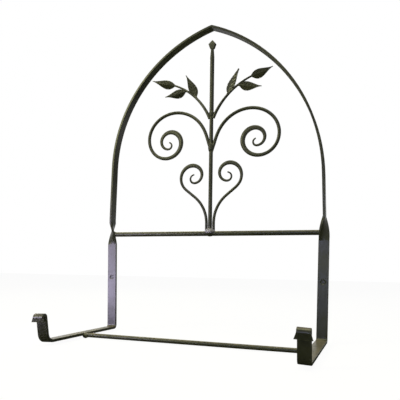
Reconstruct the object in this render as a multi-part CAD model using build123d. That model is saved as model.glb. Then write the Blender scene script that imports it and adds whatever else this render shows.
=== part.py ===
from build123d import *
import math
import os

# A forged wall bracket for a window box, in millimetres, with +Z up and its front towards -Y.
# The wall is the plane Y = 0. The origin is on the wall, midway between the two screw holes.
# Heights are measured from the screw holes, and reaches forward from the middle of the flat bar.
# Each right-hand piece is drawn as it is, and each left-hand piece is its mirror image.

SIDES = ("left", "right")
QUARTER_TURN = 90.0

# Flat bar of the frame
bar_width = 20.0
bar_thickness = 5.0
bar_edge_radius = 0.8

# Pointed arch: frame_width is between the middles of the two uprights
frame_width = 457.0
apex_height = 543.5
apex_bend_radius = 4.0
springing_height = {"left": 239.5, "right": 206.0}

# Quarter twist, at a knee where the uprights start to lean inward
crossbar_height = 92.5
knee_above_crossbar = 33.0
knee_radius = 120.0
twist_start = {"left": 6.0, "right": 0.0}
twist_length = 46.0

# Arms that carry the box, and the lips that hold its front edge. The legs draw in on the way down.
leg_draw_in = 9.75
arm_drop = 106.0
arm_reach = {"left": 223.5, "right": 229.0}
fold_radius = 6.0
lip_fold_radius = {"left": 15.0, "right": 7.0}
lip_height = {"left": 47.5, "right": 50.5}
lip_lean = 11.0
roll_radius = 4.4
roll_turn = 170.0
flap_length = {"left": 7.0, "right": 9.5}
fishtail_width = 27.0
fishtail_thickness = 2.6

# Countersunk screw holes in the legs
screw_hole_diameter = 6.5
countersink_diameter = 10.0
countersink_angle = 90.0

# Round bars between the legs and between the arms, let into the flat bar's edge by bar_bite
crossbar_diameter = 10.0
lower_bar_diameter = 8.0
lower_bar_reach = 118.0
lower_bar_drop = 1.0
bar_bite = 0.5

# Centre stem and its spear point
stem_diameter = 8.2
stem_upper_diameter = 9.2
stem_step_length = 8.0
stem_shoulder_height = 474.0
neck_diameter = 6.8
neck_height = 490.5
spear_base_height = 493.0
spear_base_width = 9.2
spear_widest_height = 503.2
spear_width = 16.2
spear_depth = 8.0
spear_tip_height = 512.4
spear_tip_width = 2.0
spear_edge_radius = 0.8

# Scrolls and leaf branches are drawn for these rooms, and scale with the room that they get:
# from the crossbar to the branch joint, from there to the point of the arch, and across the frame
branch_joint_height = 337.0
drawn_scroll_rise = 244.5
drawn_branch_room = 206.5
drawn_frame_width = 457.0

# Rods of the scrolls: round at first, beaten flat and wide in the coil, drawn out to a fine end
large_rod = {"diameter": 7.0, "flat": 10.8, "end": 3.0}
small_rod = {"diameter": 5.8, "flat": 8.8, "end": 3.0}
coil_step = 20.0

# Large scrolls: a straight lead-in out of the stem, a coil about an eye and a tight hook
large_scroll_lift = {"left": 2.8, "right": -2.8}
large_lead_in = 36.0
large_eye_offset = 96.2
large_eye_rise = 196.6
large_coil_start = (-85.1, 9.1)
large_eye_radius = 9.6
large_coil_rate = 0.2336
large_coil_turn = 617.0
large_hook_radius = 7.6
large_hook_turn = 167.0
large_flat_start = 0.56
large_flat_end = 0.80

# Small scrolls: a foot on the crossbar, a bow outward and a coil back towards the stem
small_scroll_lift = {"left": 0.0, "right": 2.0}
small_foot_gap = 0.8
small_bow_radius = 72.0
small_eye_offset = 37.7
small_eye_rise = 121.5
small_coil_start = (16.7, -28.9)
small_eye_radius = 6.15
small_coil_rate = 0.1943
small_coil_turn = 324.0
small_hook_radius = 9.0
small_hook_turn = 175.0
small_flat_start = 0.46
small_flat_end = 0.68

# Leaf branches: a bow that leaves the stem steeply and ends in a forged leaf
branch_rod_diameter = 6.8
branch_end_diameter = 4.0
branch_radius = 150.0
branch_start_heading = 68.0
branch_end_heading = 22.0

# Leaves: the heading is upward from the outward direction, the roll turns the face, and the sweep
# carries the tip aside
leaf_width = 18.4
leaf_rib_thickness = 4.0
leaf_edge_thickness = 1.6
leaf_base_width = 4.4
leaf_tip_width = 1.4
leaf_near_bulge = 0.34
leaf_far_bulge = 0.44
leaf_shoulder = 0.76
leaf_shoulder_width = 6.6
leaf_stalk_diameter = 4.4
leaf_stalk_seat = 6.0
vein_angle = 38.0
vein_size = 1.3
vein_spacing = 0.154
end_leaf_length = {"left": 55.0, "right": 47.5}
end_leaf = {"heading": 14.0, "roll": 22.0, "sweep": 3.6}
upper_leaf = {"length": 55.0, "heading": 68.0, "roll": -18.0, "sweep": -3.6, "place": 0.46, "stalk": 6.5}
lower_leaf = {"length": 47.0, "heading": -12.0, "roll": 16.0, "sweep": 2.4, "place": 0.72, "stalk": 4.5}

# Weld metal, as egg-shaped lumps with a half length along the bar or the stem and a radius across it
base_weld_half, base_weld_radius = 11.5, 9.0
base_weld_drop = 2.0
scroll_weld_half, scroll_weld_radius = 12.0, 6.2
scroll_weld_rise = 180.5
branch_weld_half, branch_weld_radius = 10.0, 5.8
branch_weld_rise = 8.5
crossbar_weld_half = {"left": 7.6, "right": 6.4}
crossbar_weld_radius = {"left": 7.2, "right": 6.0}
lower_weld_half, lower_weld_radius = 6.0, 4.8
lower_weld_setback = 2.6
lower_weld_drop = 1.2

# Values that follow from the driving dimensions
bar_plane = -bar_thickness / 2
half_frame = frame_width / 2
knee_height = crossbar_height + knee_above_crossbar
arm_spacing = frame_width - 2 * leg_draw_in
leg_rise = knee_height + arm_drop
leg_lean = math.degrees(math.atan2(leg_draw_in, leg_rise))
knee_tangent = knee_radius * math.tan(math.radians(leg_lean / 2))
stem_radius = stem_diameter / 2
scroll_scale = (branch_joint_height - crossbar_height) / drawn_scroll_rise
branch_scale = (apex_height - branch_joint_height) / drawn_branch_room * frame_width / drawn_frame_width
blade_width = leaf_width * branch_scale


def bar_middle(height):
    """Distance of the leg's centre line from the middle of the bracket, at a height."""
    return half_frame - leg_draw_in * (knee_height - height) / leg_rise


class FlatBar:
    """A flat bar worked from one end to the other. Each step adds a length at the bar's end plane,
    whose X runs across the width, Y through the thickness and Z along the bar."""

    def __init__(self, start):
        self.end = start
        self.lengths = []

    def straight(self, length):
        self.lengths.append(extrude(bar_section(self.end), length))
        self.end = self.end.offset(length)

    def bend(self, radius, angle, side):
        """Bend about the width, towards the bar's Y side (1) or away from it (-1)."""
        centre, axis = bend_axis(self.end, radius, side)
        self.lengths.append(revolve(bar_section(self.end), axis, angle))
        self.end = turned(self.end, centre, axis, angle)

    def twist(self, length, angle):
        section = bar_section(self.end).face()
        start, along = self.end.origin, self.end.z_dir
        self.lengths.append(Solid.extrude_linear_with_rotation(section, start, along * length, angle))
        self.end = Plane(start + along * length, self.end.x_dir.rotate(Axis(start, along), angle), along)

    def fishtail(self, flap):
        """End in a flap that spreads to the fishtail's width and thins out."""
        tip = bar_section(self.end.offset(flap), fishtail_width, fishtail_thickness)
        self.lengths.append(loft([bar_section(self.end), tip]))


def bar_section(plane, width=bar_width, thickness=bar_thickness):
    return plane * RectangleRounded(width, thickness, bar_edge_radius)


def bend_axis(plane, radius, side):
    centre = plane.origin + plane.y_dir * (radius * side)
    return centre, Axis(centre, plane.x_dir * -side)


def turned(plane, centre, axis, angle):
    """A plane after a turn about an axis that lies along its X direction."""
    arm = plane.origin - centre
    return Plane(centre + arm.rotate(axis, angle), plane.x_dir, plane.z_dir.rotate(axis, angle))


def mirrored(shape, side):
    return mirror(shape, about=Plane.YZ) if side == "left" else shape


def frame_half(side):
    """Half of the frame, from the point of the arch down to the fishtail, as a right-hand half."""
    crown = apex_height - bar_thickness / 2 - apex_bend_radius
    rise = crown - springing_height[side]
    arch_radius = (half_frame**2 + rise**2 - apex_bend_radius**2) / (2 * (half_frame - apex_bend_radius))
    arch_angle = math.degrees(math.atan2(rise, arch_radius - half_frame))
    leg_run = math.hypot(leg_draw_in, leg_rise)
    lip_turn = QUARTER_TURN - lip_lean
    lip_fold = lip_fold_radius[side]
    lip_tangent = lip_fold * math.tan(math.radians(lip_turn / 2))
    lean = math.radians(lip_lean)
    roll_drop = roll_radius * (1 - math.sin(lean)) + bar_thickness / 2
    lip_run = (lip_height[side] - roll_drop) / math.cos(lean)
    twist_end = knee_tangent + twist_start[side] + twist_length

    bar = FlatBar(Plane((0, bar_plane, apex_height - bar_thickness / 2), (0, 1, 0), (1, 0, 0)))
    bar.bend(apex_bend_radius, QUARTER_TURN - arch_angle, -1)
    bar.bend(arch_radius, arch_angle, -1)
    bar.straight(springing_height[side] - knee_height - knee_tangent)
    bar.bend(knee_radius, leg_lean, -1)
    if twist_start[side]:
        bar.straight(twist_start[side])
    bar.twist(twist_length, QUARTER_TURN)
    bar.straight(leg_run - twist_end - fold_radius)
    bar.bend(fold_radius, QUARTER_TURN, 1)
    bar.straight(arm_reach[side] - fold_radius - lip_tangent)
    bar.bend(lip_fold, lip_turn, 1)
    bar.straight(lip_run - lip_tangent)
    bar.bend(roll_radius, roll_turn, -1)
    bar.fishtail(flap_length[side])
    return [mirrored(length, side) for length in bar.lengths]


def screw_hole(side):
    """A countersunk hole from the front of the leg to the wall."""
    depth = (countersink_diameter - screw_hole_diameter) / 2
    depth /= math.tan(math.radians(countersink_angle / 2))
    wall = Plane((bar_middle(0), 0, 0), (1, 0, 0), (0, -1, 0))
    hole = extrude(wall * Circle(screw_hole_diameter / 2), bar_thickness)
    sink = loft([
        wall.offset(bar_thickness - depth) * Circle(screw_hole_diameter / 2),
        wall.offset(bar_thickness) * Circle(countersink_diameter / 2),
    ])
    return mirrored(hole + sink, side)


def make_frame_bar():
    lengths = [length for side in SIDES for length in frame_half(side)]
    frame = lengths[0].fuse(*lengths[1:])
    return frame - [screw_hole(side) for side in SIDES]


def round_bar(left_end, right_end, diameter, reach, height):
    start = Plane((-left_end, bar_plane - reach, height), (0, 1, 0), (1, 0, 0))
    return extrude(start * Circle(diameter / 2), left_end + right_end)


def crossbar_end(side):
    """Where the crossbar stops: just short of the far face of the twisted bar, which stands aslant here."""
    twisted = (knee_above_crossbar - knee_tangent - twist_start[side]) / twist_length
    slant = math.radians(QUARTER_TURN * twisted)
    far_face = (crossbar_diameter * math.tan(slant) - bar_thickness / math.cos(slant)) / 2
    near_edge = bar_width / 2 * math.sin(slant) - bar_bite
    return bar_middle(crossbar_height) - min(far_face, near_edge)


def lower_bar_end():
    return (arm_spacing - bar_width) / 2


def make_stem():
    """The round stem, turned in outline, with a beaten spear point on its neck."""
    step_low = branch_joint_height
    step_high = branch_joint_height + stem_step_length
    outline = Polyline(
        (0, crossbar_height),
        (stem_radius, crossbar_height),
        (stem_radius, step_low),
        (stem_upper_diameter / 2, step_high),
        (stem_upper_diameter / 2, stem_shoulder_height),
        (neck_diameter / 2, neck_height),
        (neck_diameter / 2, spear_base_height),
        (0, spear_base_height),
        close=True,
    )
    front = Plane((0, bar_plane, 0), (1, 0, 0), (0, -1, 0))
    shaft = revolve(front * make_face(outline), Axis((0, bar_plane, 0), (0, 0, 1)))
    levels = (
        (spear_base_height, spear_base_width, neck_diameter),
        (spear_widest_height, spear_width, spear_depth),
        (spear_tip_height, spear_tip_width, spear_tip_width),
    )
    spear = loft(
        [Plane((0, bar_plane, z)) * RectangleRounded(w, d, spear_edge_radius) for z, w, d in levels],
        ruled=True,
    )
    return shaft + spear


def step_arc(start, heading, radius, turn, steps):
    """Stations along an arc from a start point: (x, z, heading in degrees). Left turns are positive."""
    side = math.copysign(1, turn)
    angle = math.radians(heading)
    centre_x = start[0] - side * radius * math.sin(angle)
    centre_z = start[1] + side * radius * math.cos(angle)
    stations = []
    for step in range(steps + 1):
        now = angle + math.radians(turn) * step / steps
        x = centre_x + side * radius * math.sin(now)
        z = centre_z - side * radius * math.cos(now)
        stations.append((x, z, math.degrees(now)))
    return stations


def step_coil(start, eye, eye_radius, rate, turn, side):
    """Stations along a coil whose radius about the eye dies away from its start towards eye_radius."""
    start_radius = math.hypot(start[0] - eye[0], start[1] - eye[1])
    start_angle = math.atan2(start[1] - eye[1], start[0] - eye[0])
    steps = round(turn / coil_step)
    stations = []
    for step in range(steps + 1):
        swept = math.radians(turn) * step / steps
        excess = (start_radius - eye_radius) * math.exp(-rate * swept)
        radius = eye_radius + excess
        angle = start_angle + side * swept
        x = eye[0] + radius * math.cos(angle)
        z = eye[1] + radius * math.sin(angle)
        inward = math.degrees(math.atan2(rate * excess, radius))
        stations.append((x, z, math.degrees(angle) + side * (QUARTER_TURN + inward)))
    return stations


def step_in(stations, length, steps=3):
    """Stations of a straight run that leads into the first of the given stations."""
    x, z, heading = stations[0]
    across, up = math.cos(math.radians(heading)), math.sin(math.radians(heading))
    runs = [length * (steps - step) / steps for step in range(steps)]
    return [(x - run * across, z - run * up, heading) for run in runs] + stations


def hooked(coil, radius, turn, side):
    """The coil's stations with a tight hook added at its end."""
    x, z, heading = coil[-1]
    steps = round(turn / coil_step)
    return coil + step_arc((x, z), heading, radius, side * turn, steps)[1:]


def shares(stations):
    """How far along the rod each station lies, from 0 to 1."""
    run = [0.0]
    for (x0, z0, _), (x1, z1, _) in zip(stations, stations[1:]):
        run.append(run[-1] + math.hypot(x1 - x0, z1 - z0))
    return [length / run[-1] for length in run]


def eased(share, low, high):
    """A smooth step from 0 at low to 1 at high."""
    t = min(max((share - low) / (high - low), 0), 1)
    return t * t * (3 - 2 * t)


def scroll_sizes(rod, share, flat_start, flat_end):
    """Width across and thickness of the rod: the same metal, spread wide, then drawn out."""
    spread = eased(share, flat_start, flat_end)
    drawn = max(share - flat_end, 0) / (1 - flat_end)
    width = rod["diameter"] + (rod["flat"] - rod["diameter"]) * spread
    thickness = rod["diameter"]**2 / width
    width += (rod["end"] - width) * drawn
    thickness += (rod["end"] - thickness) * drawn
    return width, thickness


def scaled(point):
    return point[0] * scroll_scale, point[1] * scroll_scale


def rod_along(stations, sizes):
    """A rod through stations in the plane of the ornament, with oval sections."""
    sections = []
    for (x, z, heading), (width, thickness) in zip(stations, sizes):
        angle = math.radians(heading)
        along = (math.cos(angle), 0, math.sin(angle))
        across = (-math.sin(angle), 0, math.cos(angle))
        sections.append(Plane((x, bar_plane, z), across, along) * Ellipse(width / 2, thickness / 2))
    return loft(sections)


def make_large_scroll(side):
    offset, rise = scaled((large_eye_offset, large_eye_rise + large_scroll_lift[side]))
    eye = (offset, crossbar_height + rise)
    reach, lift = scaled(large_coil_start)
    start = (eye[0] + reach, eye[1] + lift)
    eye_radius, hook_radius = scaled((large_eye_radius, large_hook_radius))
    coil = step_coil(start, eye, eye_radius, large_coil_rate, large_coil_turn, -1)
    stations = hooked(step_in(coil, large_lead_in * scroll_scale), hook_radius, large_hook_turn, -1)
    sizes = [scroll_sizes(large_rod, s, large_flat_start, large_flat_end) for s in shares(stations)]
    return mirrored(rod_along(stations, sizes), side)


def make_small_scroll(side):
    offset, rise = scaled((small_eye_offset, small_eye_rise + small_scroll_lift[side]))
    eye = (offset, crossbar_height + rise)
    reach, lift = scaled(small_coil_start)
    start = (eye[0] + reach, eye[1] + lift)
    eye_radius, hook_radius = scaled((small_eye_radius, small_hook_radius))
    coil = step_coil(start, eye, eye_radius, small_coil_rate, small_coil_turn, 1)
    heading = coil[0][2]
    across, up = math.cos(math.radians(heading)), math.sin(math.radians(heading))
    foot = stem_radius + small_rod["diameter"] / 2 + small_foot_gap
    bow_radius = small_bow_radius * scroll_scale
    slope_run = (start[0] - foot - bow_radius * (1 - up)) / across
    slope = step_in(coil, slope_run)
    bow_start = (foot, slope[0][1] - bow_radius * across)
    bow_steps = round((QUARTER_TURN - heading) / coil_step) + 1
    bow = step_arc(bow_start, QUARTER_TURN, bow_radius, heading - QUARTER_TURN, bow_steps)
    foot_run = bow_start[1] - crossbar_height
    stations = hooked(step_in(bow[:-1] + slope, foot_run), hook_radius, small_hook_turn, 1)
    sizes = [scroll_sizes(small_rod, s, small_flat_start, small_flat_end) for s in shares(stations)]
    return mirrored(rod_along(stations, sizes), side)


def branch_stations(share=1.0, steps=6):
    """Stations along the branch's centre line, up to a share of its bow."""
    start = (stem_radius, branch_joint_height)
    turn = (branch_end_heading - branch_start_heading) * share
    return step_arc(start, branch_start_heading, branch_radius * branch_scale, turn, steps)


def leaf_plane(base, heading, roll):
    """The leaf's own plane: X along it from base to tip, Z out of its face."""
    angle = math.radians(heading)
    along = Vector(math.cos(angle), 0, math.sin(angle))
    face = Vector(0, -1, 0).rotate(Axis((0, 0, 0), along), roll)
    return Plane((base[0], bar_plane, base[1]), along, face)


def leaf_surface(across):
    """Height of the leaf's sloping face at a distance from the midrib."""
    slope = (leaf_rib_thickness - leaf_edge_thickness) / blade_width
    return leaf_rib_thickness / 2 - slope * across


def leaf_edge(length, sweep):
    """The blade's outline: widest near the base, with a shoulder and a fine tip that sweeps aside."""
    half_base, half_tip = leaf_base_width / 2, leaf_tip_width / 2
    half_width, half_shoulder = blade_width / 2, leaf_shoulder_width * branch_scale / 2
    drift = sweep * leaf_shoulder**2
    near, far, shoulder = (share * length for share in (leaf_near_bulge, leaf_far_bulge, leaf_shoulder))
    upper = Spline(
        (0, half_base), (near, half_width), (shoulder, drift + half_shoulder), (length, sweep + half_tip)
    )
    lower = Spline(
        (length, sweep - half_tip), (shoulder, drift - half_shoulder), (far, -half_width), (0, -half_base)
    )
    return upper + Line(upper @ 1, lower @ 0) + lower + Line(lower @ 1, upper @ 0)


def leaf_blade(drawn_length, sweep):
    """A blade that is thickest along its midrib, with veins cut into both faces."""
    length = drawn_length * branch_scale
    edge = leaf_edge(length, sweep * branch_scale)
    blank = extrude(make_face(edge), leaf_rib_thickness, both=True)
    rim = leaf_surface(blade_width)
    ridge = Polyline(
        (-blade_width, rim),
        (0, leaf_surface(0)),
        (blade_width, rim),
        (blade_width, -rim),
        (0, -leaf_surface(0)),
        (-blade_width, -rim),
        close=True,
    )
    lens = extrude(Plane.YZ * make_face(ridge), length)
    return (blank & lens) - leaf_veins(length)


def leaf_veins(length, pairs=5):
    """Square bars set on edge that cut the side veins, both ways from the midrib and on both faces."""
    reach = blade_width
    forward = reach / math.tan(math.radians(vein_angle))
    cutters = []
    for number in range(pairs):
        root = length * vein_spacing * (number + 0.5)
        for side in (-1, 1):
            for face in (-1, 1):
                start = Vector(root, side * vein_size, face * leaf_surface(vein_size))
                finish = Vector(root + forward, side * reach, face * leaf_surface(reach))
                line = finish - start
                on_edge = Plane(start, (0, 0, 1), line) * Rot(Z=QUARTER_TURN / 2)
                cutters.append(extrude(on_edge * Rectangle(vein_size, vein_size), line.length))
    return cutters


def make_branch(side):
    stations = branch_stations()
    taper = (branch_end_diameter - branch_rod_diameter) / (len(stations) - 1)
    sizes = [(branch_rod_diameter + taper * number,) * 2 for number in range(len(stations))]
    place = leaf_plane(stations[-1], end_leaf["heading"], end_leaf["roll"])
    blade = leaf_blade(end_leaf_length[side], end_leaf["sweep"])
    return mirrored(rod_along(stations, sizes) + place * blade, side)


def make_side_leaf(leaf, side):
    """A blade on a short stalk that reaches back to the middle of its branch."""
    foot = branch_stations(leaf["place"])[-1]
    place = leaf_plane(foot, leaf["heading"], leaf["roll"])
    stalk_length = leaf["stalk"] * branch_scale
    stalk = extrude(Plane.YZ * Circle(leaf_stalk_diameter / 2), stalk_length + leaf_stalk_seat)
    blade = Pos(stalk_length, 0, 0) * leaf_blade(leaf["length"], leaf["sweep"])
    return mirrored(place * (stalk + blade), side)


def largest(shape):
    """The main body of a cut shape, without the chips that a slanting cut leaves."""
    return shape.solids().sort_by(SortBy.VOLUME)[-1]


def weld_lump(place, along, half_length, radius):
    """An egg-shaped lump of weld metal about an axis."""
    profile = Ellipse(half_length, radius) & Pos(0, radius / 2) * Rectangle(2 * half_length, radius)
    plane = Plane(place, along, (0, 1, 0))
    return revolve(plane * profile, Axis(plane.origin, plane.x_dir))


os.makedirs("parts", exist_ok=True)

frame_bar = make_frame_bar()
crossbar_reach = [crossbar_end(side) for side in SIDES]
lower_reach = [lower_bar_end() + bar_bite] * len(SIDES)
lower_height = -arm_drop - lower_bar_drop
crossbar = largest(round_bar(*crossbar_reach, crossbar_diameter, 0, crossbar_height) - frame_bar)
lower_bar = round_bar(*lower_reach, lower_bar_diameter, lower_bar_reach, lower_height) - frame_bar
centre_stem = make_stem() - crossbar

nodes = {
    "frame_bar": frame_bar,
    "crossbar": crossbar,
    "lower_bar": lower_bar,
    "centre_stem": centre_stem,
}
for side in SIDES:
    branch = make_branch(side) - centre_stem
    nodes[f"large_scroll_{side}"] = make_large_scroll(side) - centre_stem
    nodes[f"small_scroll_{side}"] = make_small_scroll(side) - crossbar
    nodes[f"leaf_branch_{side}"] = branch
    nodes[f"upper_leaf_{side}"] = make_side_leaf(upper_leaf, side) - branch
    nodes[f"lower_leaf_{side}"] = make_side_leaf(lower_leaf, side) - branch

# The welds fill what the pieces that they join leave free, on one side of the frame's bar
UP, ACROSS = (0, 0, 1), (1, 0, 0)
base_place = (0, bar_plane, crossbar_height + crossbar_diameter / 2 - base_weld_drop)
scroll_place = (0, bar_plane, crossbar_height + scroll_weld_rise * scroll_scale)
branch_place = (0, bar_plane, branch_joint_height + branch_weld_rise)
lumps = {
    "base_weld": weld_lump(base_place, ACROSS, base_weld_half, base_weld_radius),
    "scroll_weld": weld_lump(scroll_place, UP, scroll_weld_half, scroll_weld_radius),
    "branch_weld": weld_lump(branch_place, UP, branch_weld_half, branch_weld_radius),
}
joins = {
    "base_weld": ("crossbar", "centre_stem", "small_scroll_left", "small_scroll_right"),
    "scroll_weld": ("centre_stem", "large_scroll_left", "large_scroll_right"),
    "branch_weld": ("centre_stem", "leaf_branch_left", "leaf_branch_right"),
}
for side, sign in zip(SIDES, (-1, 1)):
    crossbar_place = (sign * crossbar_end(side), bar_plane, crossbar_height)
    lower_end = lower_bar_end() - lower_weld_setback
    lower_place = (sign * lower_end, bar_plane - lower_bar_reach, lower_height - lower_weld_drop)
    bead, lower_bead = f"crossbar_weld_{side}", f"lower_bar_weld_{side}"
    lumps[bead] = weld_lump(crossbar_place, ACROSS, crossbar_weld_half[side], crossbar_weld_radius[side])
    lumps[lower_bead] = weld_lump(lower_place, ACROSS, lower_weld_half, lower_weld_radius)
    joins[bead] = ("frame_bar", "crossbar")
    joins[lower_bead] = ("frame_bar", "lower_bar")
for name, lump in lumps.items():
    nodes[name] = largest(lump - [nodes[neighbour] for neighbour in joins[name]])

for name, shape in nodes.items():
    export_step(shape, f"parts/{name}.step")
    print(name, len(shape.solids()), round(shape.volume))
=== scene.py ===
# %% [markdown]
# Window box bracket
#
# The bracket is forged from flat bar, round bar and drawn-out rod, welded together and painted satin
# black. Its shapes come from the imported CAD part, which is loaded here as a fixed frame. Blender then
# gives it what the CAD part lacks: the paint, the wall screws, the light and the camera of the photograph.

# %% Load the fixed frame
import math

import bmesh
import bpy
from mathutils import Matrix, Vector


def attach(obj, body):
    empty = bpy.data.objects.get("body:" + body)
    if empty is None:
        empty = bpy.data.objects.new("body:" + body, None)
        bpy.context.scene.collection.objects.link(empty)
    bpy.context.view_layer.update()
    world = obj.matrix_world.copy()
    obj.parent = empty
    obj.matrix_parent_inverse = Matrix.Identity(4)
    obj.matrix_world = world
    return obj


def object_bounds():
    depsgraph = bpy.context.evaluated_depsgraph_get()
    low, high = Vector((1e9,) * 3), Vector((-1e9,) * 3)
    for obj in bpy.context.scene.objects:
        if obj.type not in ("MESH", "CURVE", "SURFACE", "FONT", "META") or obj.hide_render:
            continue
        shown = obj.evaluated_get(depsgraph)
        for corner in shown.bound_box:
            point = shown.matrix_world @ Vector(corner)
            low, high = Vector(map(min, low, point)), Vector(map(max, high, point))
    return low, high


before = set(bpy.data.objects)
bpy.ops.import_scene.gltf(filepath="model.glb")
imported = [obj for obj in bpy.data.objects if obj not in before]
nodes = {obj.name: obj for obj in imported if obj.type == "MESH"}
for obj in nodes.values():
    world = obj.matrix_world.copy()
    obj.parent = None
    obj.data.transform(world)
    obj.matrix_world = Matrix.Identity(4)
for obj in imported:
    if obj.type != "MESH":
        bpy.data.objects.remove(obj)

cad_low, cad_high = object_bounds()
print("nodes:", len(nodes), "CAD box from", tuple(cad_low), "to", tuple(cad_high))

# %% [markdown]
# The camera
#
# A photograph can be matched by eye, by nudging the camera until edges line up, or by fitting a camera to
# points whose real places are known. The second way was used: the uprights, arms and bars gave the place,
# the angles and the focal length. The focal length is in pixels of the photograph, so it only has to be
# scaled to the sensor. The camera stands a little above the arms, to the right, and looks slightly up.

# %% Place the camera
PHOTO_PIXELS = 400
FOCAL_PIXELS = 471.26
SENSOR_WIDTH = 36.0
CAMERA_PLACE = Vector((0.31366, -0.91339, 0.02071))
CAMERA_PAN, CAMERA_TILT, CAMERA_ROLL = (math.radians(angle) for angle in (20.269, 8.314, 0.971))
QUARTER_TURN = math.pi / 2

scene = bpy.context.scene
camera = bpy.data.objects.new("photo_camera", bpy.data.cameras.new("photo_camera"))
scene.collection.objects.link(camera)
camera.data.sensor_width = SENSOR_WIDTH
camera.data.lens = FOCAL_PIXELS / PHOTO_PIXELS * SENSOR_WIDTH
# A camera that isn't turned looks straight down, so a quarter turn about X brings it level.
camera_turn = (
    Matrix.Rotation(CAMERA_PAN, 4, "Z")
    @ Matrix.Rotation(QUARTER_TURN + CAMERA_TILT, 4, "X")
    @ Matrix.Rotation(CAMERA_ROLL, 4, "Z")
)
camera.matrix_world = Matrix.Translation(CAMERA_PLACE) @ camera_turn
scene.camera = camera
print("camera lens in mm:", round(camera.data.lens, 2))

# %% [markdown]
# Writing shaders as sums
#
# A node tree can be built link by link, which is long and hard to read. Here one small class wraps the
# output of a node. Ordinary sums on it, such as 1 - mask, add the Math nodes that work them out, and its
# node method makes any other node from a type, its settings and what goes into its sockets.

# %% A wire in a node tree
# A Mix node has a set of sockets for each type of data, so the ones for colours are reached by number.
MIX_FACTOR, MIX_COLOUR, MIX_OTHER, MIX_RESULT = 0, 6, 7, 2


class Wire:
    """One output in a node tree, which can be used in sums and plugged into other nodes."""

    def __init__(self, tree, socket=None):
        self.tree, self.socket = tree, socket

    def node(self, kind, settings=None, sockets=None, out=0):
        """A new node of this kind, with its settings and sockets filled, as a wire from one output."""
        made = self.tree.nodes.new(kind)
        for name, value in (settings or {}).items():
            setattr(made, name, value)
        for name, value in (sockets or {}).items():
            if isinstance(value, Wire):
                self.tree.links.new(value.socket, made.inputs[name])
            else:
                made.inputs[name].default_value = value
        return Wire(self.tree, made.outputs[out] if made.outputs else None)

    def math(self, operation, first, second):
        return self.node("ShaderNodeMath", {"operation": operation}, {0: first, 1: second})

    def __add__(self, other):
        return self.math("ADD", self, other)

    def __sub__(self, other):
        return self.math("SUBTRACT", self, other)

    def __rsub__(self, other):
        return self.math("SUBTRACT", other, self)

    def __mul__(self, other):
        return self.math("MULTIPLY", self, other)

    __radd__, __rmul__ = __add__, __mul__

    def between(self, low, high):
        """This value spread so that low becomes 0 and high becomes 1, and clipped there."""
        sockets = {"Value": self, "From Min": low, "From Max": high}
        return self.node("ShaderNodeMapRange", {"clamp": True}, sockets)

    def blend(self, colour, other):
        """The first colour where this value is 0, the other where it is 1."""
        sockets = {MIX_FACTOR: self, MIX_COLOUR: colour, MIX_OTHER: other}
        return self.node("ShaderNodeMix", {"data_type": "RGBA"}, sockets, out=MIX_RESULT)


def new_tree(name):
    """A material with an empty node tree, and a wire to build it from."""
    material = bpy.data.materials.new(name)
    material.use_nodes = True
    material.node_tree.nodes.clear()
    return material, Wire(material.node_tree)


print("sums that a wire knows: + - *")

# %% [markdown]
# The floor and the white room
#
# The photograph shows the bracket cut out on white. More lamps would bleach the paint, so the white comes
# from the room instead: rays that the camera sends straight out, or that bounce off the gloss, see plain
# white, and only soft light falls on the bracket. The floor does the same, but keeps a little of its own
# shading so that the bracket still drops a faint shadow.

# %% Lay the floor
WHITE = (1.0, 1.0, 1.0, 1.0)
SEEN_WHITE = 1.0
FLOOR_COLOUR = (0.88, 0.88, 0.87, 1.0)
FLOOR_SIZE = 12.0
FLOOR_GAP = 0.0002
SHADOW_SHARE = 0.05


def seen_rays(wire):
    """1 for rays from the camera, from gloss or through glass, and 0 for soft bounced light."""
    rays = ("Is Camera Ray", "Is Glossy Ray", "Is Transmission Ray")
    camera_ray, glossy_ray, glass_ray = (wire.node("ShaderNodeLightPath", out=ray) for ray in rays)
    return (camera_ray + glossy_ray + glass_ray).between(0.0, 1.0)


floor_mesh = bpy.data.meshes.new("floor")
half, level = FLOOR_SIZE / 2, cad_low.z - FLOOR_GAP
corners = [(-half, -half, level), (half, -half, level), (half, half, level), (-half, half, level)]
floor_mesh.from_pydata(corners, [], [(0, 1, 2, 3)])
floor = bpy.data.objects.new("floor", floor_mesh)
scene.collection.objects.link(floor)
floor_paper, wire = new_tree("floor_paper")
plain = wire.node("ShaderNodeBsdfDiffuse", sockets={"Color": FLOOR_COLOUR})
white = wire.node("ShaderNodeEmission", sockets={"Color": WHITE, "Strength": SEEN_WHITE})
share = seen_rays(wire) * (1 - SHADOW_SHARE)
paper = wire.node("ShaderNodeMixShader", sockets={0: share, 1: plain, 2: white})
wire.node("ShaderNodeOutputMaterial", sockets={"Surface": paper})
floor_mesh.materials.append(floor_paper)
print("floor level in metres:", round(level, 4))

# %% Whiten the room
ROOM_LIGHT = 0.35

scene.world = bpy.data.worlds.new("white_room")
scene.world.use_nodes = True
scene.world.node_tree.nodes.clear()
wire = Wire(scene.world.node_tree)
soft = wire.node("ShaderNodeBackground", sockets={"Color": WHITE, "Strength": ROOM_LIGHT})
white = wire.node("ShaderNodeBackground", sockets={"Color": WHITE, "Strength": SEEN_WHITE})
room = wire.node("ShaderNodeMixShader", sockets={0: seen_rays(wire), 1: soft, 2: white})
wire.node("ShaderNodeOutputWorld", sockets={"Surface": room})
scene.view_settings.view_transform = "Standard"
print("room: soft light", ROOM_LIGHT, "and seen white", SEEN_WHITE)

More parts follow.
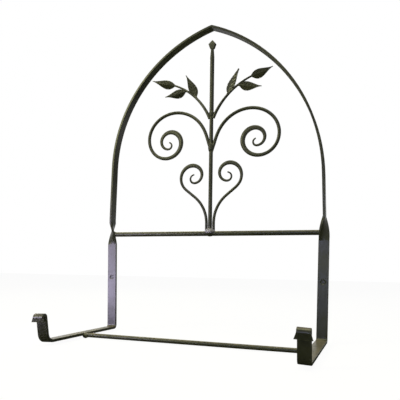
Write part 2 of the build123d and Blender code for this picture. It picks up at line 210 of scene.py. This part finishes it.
# %% [markdown]
# Soft studio light
#
# Satin paint shows its shape through broad, soft reflections, so the lamps are panels, and none of them
# shows itself to the camera. Two warm ones, high on the left and overhead, draw the bright line along the
# top of each bar, and a weaker one behind shows the back. A flat bar is a dull mirror, which shines only
# where it faces a lamp. So two small lavender panels stand where the flat of the left leg mirrors them
# towards the camera, and a very weak cool one does the same for the right leg, which stays dark. A narrow
# spread, like the grid on a photographer's lamp, keeps their light off the rest.

# %% Lamps
LAVENDER, COOL, WARM = (0.77, 0.69, 1.0), (0.60, 0.64, 1.0), (1.0, 1.0, 0.56)
MIDDLE = (0.0, 0.0, 0.2)
LEFT_LEG, LEFT_FOOT, RIGHT_LEG = (-0.22, 0.0, 0.0), (-0.22, 0.0, -0.064), (0.22, 0.0, 0.03)


def soft_panel(name, place, aim, size, watts, colour, spread=180):
    """A flat lamp that the camera can't see, turned to its aim, with its light spread in degrees."""
    lamp = bpy.data.lights.new(name, "AREA")
    lamp.shape, lamp.size, lamp.size_y = "RECTANGLE", *size
    lamp.energy, lamp.color, lamp.spread = watts, colour, math.radians(spread)
    panel = bpy.data.objects.new(name, lamp)
    scene.collection.objects.link(panel)
    panel.visible_camera = False
    panel.location = place
    panel.rotation_euler = (Vector(aim) - Vector(place)).to_track_quat("-Z", "Y").to_euler()
    print(name, "watts per square metre:", round(watts / (size[0] * size[1]), 1))


soft_panel(
    "left_panel", place=(-0.60, -0.66, 0.02), aim=LEFT_LEG,
    size=(0.35, 0.24), watts=0.42, colour=LAVENDER, spread=36,
)
soft_panel(
    "low_panel", place=(-0.40, -0.30, -0.064), aim=LEFT_FOOT,
    size=(0.25, 0.085), watts=0.11, colour=LAVENDER, spread=60,
)
soft_panel(
    "front_panel", place=(0.05, -1.75, 0.12), aim=RIGHT_LEG,
    size=(0.5, 0.44), watts=0.11, colour=COOL, spread=14,
)
soft_panel("high_panel", place=(-1.10, -1.40, 0.95), aim=MIDDLE, size=(0.6, 0.7), watts=26.0, colour=WARM)
soft_panel("top_panel", place=(0.1, -0.7, 2.0), aim=MIDDLE, size=(0.9, 0.6), watts=24.0, colour=WARM)
soft_panel("back_panel", place=(-0.9, 1.3, 1.3), aim=MIDDLE, size=(0.8, 0.8), watts=10.0, colour=WARM)

# %% [markdown]
# A dark cloth for contrast
#
# On white, a black object goes grey, because its sides mirror the white around it. Photographers lay dark
# cloth and stand dark cards just out of sight so that the sides stay black. Here one olive cloth lies under
# the bracket and one hangs behind it, with a gap between that the tops of the arms mirror. Only reflections
# show them: the camera and the soft light pass through, so the floor stays pale.

# %% Lay and hang the cloths
CLOTH_COLOUR = (0.060, 0.064, 0.034, 1.0)
CLOTH_LEFT, CLOTH_RIGHT, CLOTH_NEAR, CLOTH_FAR = -2.2, 2.6, -2.2, 2.6
CLOTH_HEM, CLOTH_TOP = 0.60, 2.2

cloth_mesh = bpy.data.meshes.new("dark_cloth")
cloth_low = level + FLOOR_GAP / 2
# Each row is an edge from left to right: the first two bound the lying cloth, the others the hanging one.
rows = [(CLOTH_NEAR, cloth_low), (CLOTH_FAR, cloth_low), (CLOTH_FAR, CLOTH_HEM), (CLOTH_FAR, CLOTH_TOP)]
corners = [(x, y, z) for y, z in rows for x in (CLOTH_LEFT, CLOTH_RIGHT)]
cloth_mesh.from_pydata(corners, [], [(0, 1, 3, 2), (4, 5, 7, 6)])
cloth = bpy.data.objects.new("dark_cloth", cloth_mesh)
scene.collection.objects.link(cloth)
cloth.visible_camera = cloth.visible_shadow = cloth.visible_diffuse = False
cloth_dye, wire = new_tree("cloth_dye")
dyed = wire.node("ShaderNodeBsdfDiffuse", sockets={"Color": CLOTH_COLOUR})
wire.node("ShaderNodeOutputMaterial", sockets={"Surface": dyed})
cloth_mesh.materials.append(cloth_dye)
print("cloth width in metres:", round(CLOTH_RIGHT - CLOTH_LEFT, 2))

# %% [markdown]
# Satin black paint
#
# Paint on a forged bracket is not one black. It is a little browner and greener in places, and thinner and
# paler where an edge has been rubbed; that pale edge also serves as a painted edge highlight. Faces that
# look up are dustier, and their tan dust also serves as a painted warm sheen. A picture could be painted by
# hand for that, but it would need unwrapping. Noise in the bracket's own coordinates needs none, and stays
# the right size on every piece. The hammered surface and the fine skin of the paint are a bump.

# %% Patterns in the paint
MILLIMETRE = 0.001
BEVEL_SAMPLES = 4
EDGE_LEAN = (0.02, 0.25)
MARK_SMOOTHNESS = 0.6


def noise(wire, place, size, detail=3.0):
    """Cloudy noise from 0 to 1 with blots of about this size in metres."""
    return wire.node("ShaderNodeTexNoise", sockets={"Vector": place, "Scale": 1 / size, "Detail": detail})


def hammer_marks(wire, place, size):
    """Shallow hollows, as a hammer leaves them, about this far apart in metres."""
    sockets = {"Vector": place, "Scale": 1 / size, "Smoothness": MARK_SMOOTHNESS}
    return wire.node("ShaderNodeTexVoronoi", {"feature": "SMOOTH_F1"}, sockets, out="Distance")


# The mask for the pale edges, which are paint wear and also a painted edge highlight.
def worn_and_shining_edges(wire, radius):
    """1 on the sharp edges, where a rounded-off normal leans away from the face's own."""
    rounded = wire.node("ShaderNodeBevel", {"samples": BEVEL_SAMPLES}, {"Radius": radius})
    face = wire.node("ShaderNodeNewGeometry", out="Normal")
    settings, sockets = {"operation": "DOT_PRODUCT"}, {0: rounded, 1: face}
    along = wire.node("ShaderNodeVectorMath", settings, sockets, out="Value")
    return (1 - along).between(*EDGE_LEAN)


print("lean of the normal where rubbing starts and where it is full:", EDGE_LEAN)

# %% [markdown]
# Mixing the paint
#
# The layers go on in this order: black with olive patches, a pale lavender painted highlight on faces that
# look up, which only the foot weld uses, pale edges that are partly rubbed paint and partly a painted edge
# highlight, and last tan dust on faces that look up, which is partly a painted warm sheen. Each layer has a
# mask from 0 to 1 that says where it shows. Every mask but the first is broken up by the same blots, because
# a mark with an even edge looks drawn.

# %% Mix the paint
BLACK = (0.009, 0.0095, 0.006, 1.0)
OLIVE = (0.019, 0.020, 0.011, 1.0)
# Pale rubbed edges: paint wear, and also a painted edge highlight.
PALE_EDGE_WEAR_AND_SHINE = (0.125, 0.124, 0.084, 1.0)
# Tan dust on faces that look up, which also paints a warm sheen there.
TAN_DUST_AND_SHEEN = (0.17, 0.146, 0.106, 1.0)
# A pale lavender painted highlight on faces that look up, used on the foot weld.
PAINTED_TOP_HIGHLIGHT = (0.20, 0.19, 0.25, 1.0)
PATCH_SIZE, BLOT_SIZE, SKIN_SIZE = 70 * MILLIMETRE, 9 * MILLIMETRE, 0.9 * MILLIMETRE
SKIN_DEPTH, EDGE_RADIUS = 0.03 * MILLIMETRE, 1.2 * MILLIMETRE
PATCH_RANGE = (0.35, 0.68)
HIGHLIGHT_BLOTS, EDGE_BLOTS, DUST_SHEEN_BLOTS = (0.2, 0.5), (0.38, 0.62), (0.25, 0.75)
HIGHLIGHT_UPWARD, DUST_SHEEN_UPWARD = (-0.4, 0.3), (0.5, 0.98)
ROUGHNESS_CHANGE = 0.08
PAINT_SPECULAR = 0.22


def satin_paint(name, mark_mm, depth_mm, dust_and_sheen, rub_and_shine, roughness, highlight=0.0):
    """The paint over hammer marks of this size and depth, with shares of dust and painted sheen, of rubbed
    edges and painted edge highlight, and of a painted highlight on top.
    """
    material, wire = new_tree(name)
    place = wire.node("ShaderNodeTexCoord", out="Object")
    patches = noise(wire, place, PATCH_SIZE).between(*PATCH_RANGE)
    blots = noise(wire, place, BLOT_SIZE)
    skin = noise(wire, place, SKIN_SIZE, detail=1.0)
    facing = wire.node("ShaderNodeNewGeometry", out="Normal")
    upward = wire.node("ShaderNodeSeparateXYZ", sockets={"Vector": facing}, out="Z")

    # Painted highlight on faces that look up.
    top_highlight = upward.between(*HIGHLIGHT_UPWARD) * blots.between(*HIGHLIGHT_BLOTS) * highlight
    # Rubbed paint on the edges, and a painted edge highlight on the same edges.
    edges = worn_and_shining_edges(wire, EDGE_RADIUS) * blots.between(*EDGE_BLOTS) * rub_and_shine
    # Dust on faces that look up, and a painted warm sheen on the same faces.
    settled_and_sheen = upward.between(*DUST_SHEEN_UPWARD) * blots.between(*DUST_SHEEN_BLOTS) * dust_and_sheen
    colour = patches.blend(BLACK, OLIVE)
    for mask, layer in ((top_highlight, PAINTED_TOP_HIGHLIGHT), (edges, PALE_EDGE_WEAR_AND_SHINE), (settled_and_sheen, TAN_DUST_AND_SHEEN)):
        colour = mask.blend(colour, layer)

    marks = hammer_marks(wire, place, mark_mm * MILLIMETRE)
    height = marks * (depth_mm * MILLIMETRE) + skin * SKIN_DEPTH
    bump = wire.node("ShaderNodeBump", sockets={"Height": height, "Strength": 1.0, "Distance": 1.0})
    sockets = {
        "Base Color": colour,
        "Roughness": patches * ROUGHNESS_CHANGE + skin * ROUGHNESS_CHANGE + roughness,
        "Specular IOR Level": PAINT_SPECULAR,
        "Normal": bump,
    }
    paint = wire.node("ShaderNodeBsdfPrincipled", sockets=sockets)
    wire.node("ShaderNodeOutputMaterial", sockets={"Surface": paint})
    print(name, "nodes in its tree:", len(wire.tree.nodes))
    return material


# %% [markdown]
# One paint, six surfaces
#
# The same paint looks different on each kind of piece. Flat bar carries broad shallow hammer marks. Drawn
# round bar is smooth. The scrolls and leaves were beaten all over, so their marks are closer together, and
# weld metal is lumpy. The lump at the foot of the stem gets a pale lavender painted highlight on top. Six
# separate node trees could be drawn for that, but one function with a few numbers keeps the paint the same.

# %% Give every piece its paint
# Each look's dust share also sets a painted warm sheen on faces that look up, and its rubbing share a
# painted edge highlight.
LOOKS = {
    "flat_bar_paint": dict(mark_mm=26, depth_mm=0.25, dust_and_sheen=0.9, rub_and_shine=0.65, roughness=0.26),
    "round_bar_paint": dict(mark_mm=18, depth_mm=0.10, dust_and_sheen=1.0, rub_and_shine=0.4, roughness=0.30),
    "scroll_paint": dict(mark_mm=9, depth_mm=0.22, dust_and_sheen=0.6, rub_and_shine=0.9, roughness=0.30),
    "leaf_paint": dict(mark_mm=5, depth_mm=0.40, dust_and_sheen=0.2, rub_and_shine=0.5, roughness=0.22),
    "weld_paint": dict(mark_mm=4, depth_mm=0.45, dust_and_sheen=0.4, rub_and_shine=0.6, roughness=0.36),
    # The foot weld gets a pale lavender painted highlight on top.
    "highlit_weld": dict(mark_mm=7, depth_mm=0.15, dust_and_sheen=0.2, rub_and_shine=0.6, roughness=0.30, highlight=0.9),
}
# The first of these words that a piece has in its name decides its finish.
FINISH_WORDS = (
    ("base_weld", "highlit_weld"),
    ("weld", "weld_paint"),
    ("leaf", "leaf_paint"),
    ("scroll", "scroll_paint"),
    ("frame_bar", "flat_bar_paint"),
    ("", "round_bar_paint"),
)

finishes = {name: satin_paint(name, **look) for name, look in LOOKS.items()}
for name, piece in nodes.items():
    finish = next(finish for word, finish in FINISH_WORDS if word in name)
    piece.data.materials.clear()
    piece.data.materials.append(finishes[finish])
    print(name, "has", finish)

# %% [markdown]
# The wall screws
#
# The photograph shows a small round screw head in each leg, with a dark ring where it sits below the face
# of the bar. The drive is too small to see there, so the common cross is used. Screws are bought, not
# forged, so the CAD part has only their holes. A cutter could sink the cross into a cylinder, but it leaves
# untidy faces. So each screw is made as on a lathe, ring by ring from the rim of the head to the point, with
# the cross sunk before the rim is closed.

# %% Rings for the screws
HEAD_RADIUS, SHANK_RADIUS, TIP_RADIUS = 3.9 * MILLIMETRE, 2.2 * MILLIMETRE, 0.2 * MILLIMETRE
SCREW_LENGTH, POINT_LENGTH = 16 * MILLIMETRE, 4 * MILLIMETRE
RIM, CROSS_DEPTH = 0.2 * MILLIMETRE, 1.5 * MILLIMETRE
CROSS_REACH, CROSS_HALF_WIDTH, CROSS_TAPER = 2.3 * MILLIMETRE, 0.8 * MILLIMETRE, 0.7


def circle(radius, steps=48):
    """Points around a circle."""
    turns = [2 * math.pi * step / steps for step in range(steps)]
    return [(radius * math.cos(turn), radius * math.sin(turn)) for turn in turns]


def cross(scale):
    """The outline of the cross, one arm after the other."""
    reach, half_width = CROSS_REACH * scale, CROSS_HALF_WIDTH * scale
    arm = [Vector((reach, -half_width)), Vector((reach, half_width)), Vector((half_width, half_width))]
    turns = [Matrix.Rotation(quarter * QUARTER_TURN, 2) for quarter in range(4)]
    return [tuple(turn @ point) for turn in turns for point in arm]


def ring(mesh, points, depth):
    """A new corner of the mesh for each point of an outline, this far behind the face of the head."""
    return [mesh.verts.new((x, depth, z)) for x, z in points]


def join_rings(mesh, rings):
    """Faces between each ring and the next."""
    for first, second in zip(rings, rings[1:]):
        for step in range(len(first)):
            mesh.faces.new((first[step - 1], first[step], second[step], second[step - 1]))


def loop_edges(mesh, points):
    """The edges that run around one ring."""
    return [mesh.edges.get((points[step - 1], points[step])) for step in range(len(points))]


print("points in a ring:", len(circle(HEAD_RADIUS)), "and in the cross:", len(cross(1.0)))

# %% Turn and seat the screws
HOLE_REACH, LEG_FRONT, HEAD_DEPTH = 223.21 * MILLIMETRE, -5 * MILLIMETRE, 0.85 * MILLIMETRE
SHARP_ANGLE = math.radians(25)


def make_screw(name, place, finish):
    """One countersunk screw, with the face of its head at this place and its point towards the wall."""
    mesh = bmesh.new()
    cone_depth = RIM + HEAD_RADIUS - SHANK_RADIUS
    rim = ring(mesh, circle(HEAD_RADIUS - RIM), 0.0)
    head = ring(mesh, circle(HEAD_RADIUS), RIM)
    neck = ring(mesh, circle(SHANK_RADIUS), cone_depth)
    shank = ring(mesh, circle(SHANK_RADIUS), SCREW_LENGTH - POINT_LENGTH)
    point = ring(mesh, circle(TIP_RADIUS), SCREW_LENGTH)
    mouth, cross_floor = ring(mesh, cross(1.0), 0.0), ring(mesh, cross(CROSS_TAPER), CROSS_DEPTH)
    join_rings(mesh, [rim, head, neck, shank, point])
    join_rings(mesh, [mouth, cross_floor])
    mesh.faces.new(point)
    mesh.faces.new(cross_floor)
    bmesh.ops.triangle_fill(mesh, use_beauty=True, edges=loop_edges(mesh, rim) + loop_edges(mesh, mouth))
    bmesh.ops.recalc_face_normals(mesh, faces=mesh.faces)
    screw = bpy.data.objects.new(name, bpy.data.meshes.new(name))
    mesh.to_mesh(screw.data)
    mesh.free()
    screw.data.polygons.foreach_set("use_smooth", [True] * len(screw.data.polygons))
    screw.data.set_sharp_from_angle(angle=SHARP_ANGLE)
    screw.data.materials.append(finish)
    scene.collection.objects.link(screw)
    screw.location = place
    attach(screw, "root")
    print(name, "faces:", len(screw.data.polygons))


# The screws get the same pale edges, partly wear and partly a painted edge highlight.
screw_black = satin_paint("screw_black", mark_mm=12, depth_mm=0.01, dust_and_sheen=0.0, rub_and_shine=0.3, roughness=0.26)
for side, reach in (("left", -HOLE_REACH), ("right", HOLE_REACH)):
    make_screw(f"wall_screw_{side}", (reach, LEG_FRONT + HEAD_DEPTH, 0.0), screw_black)
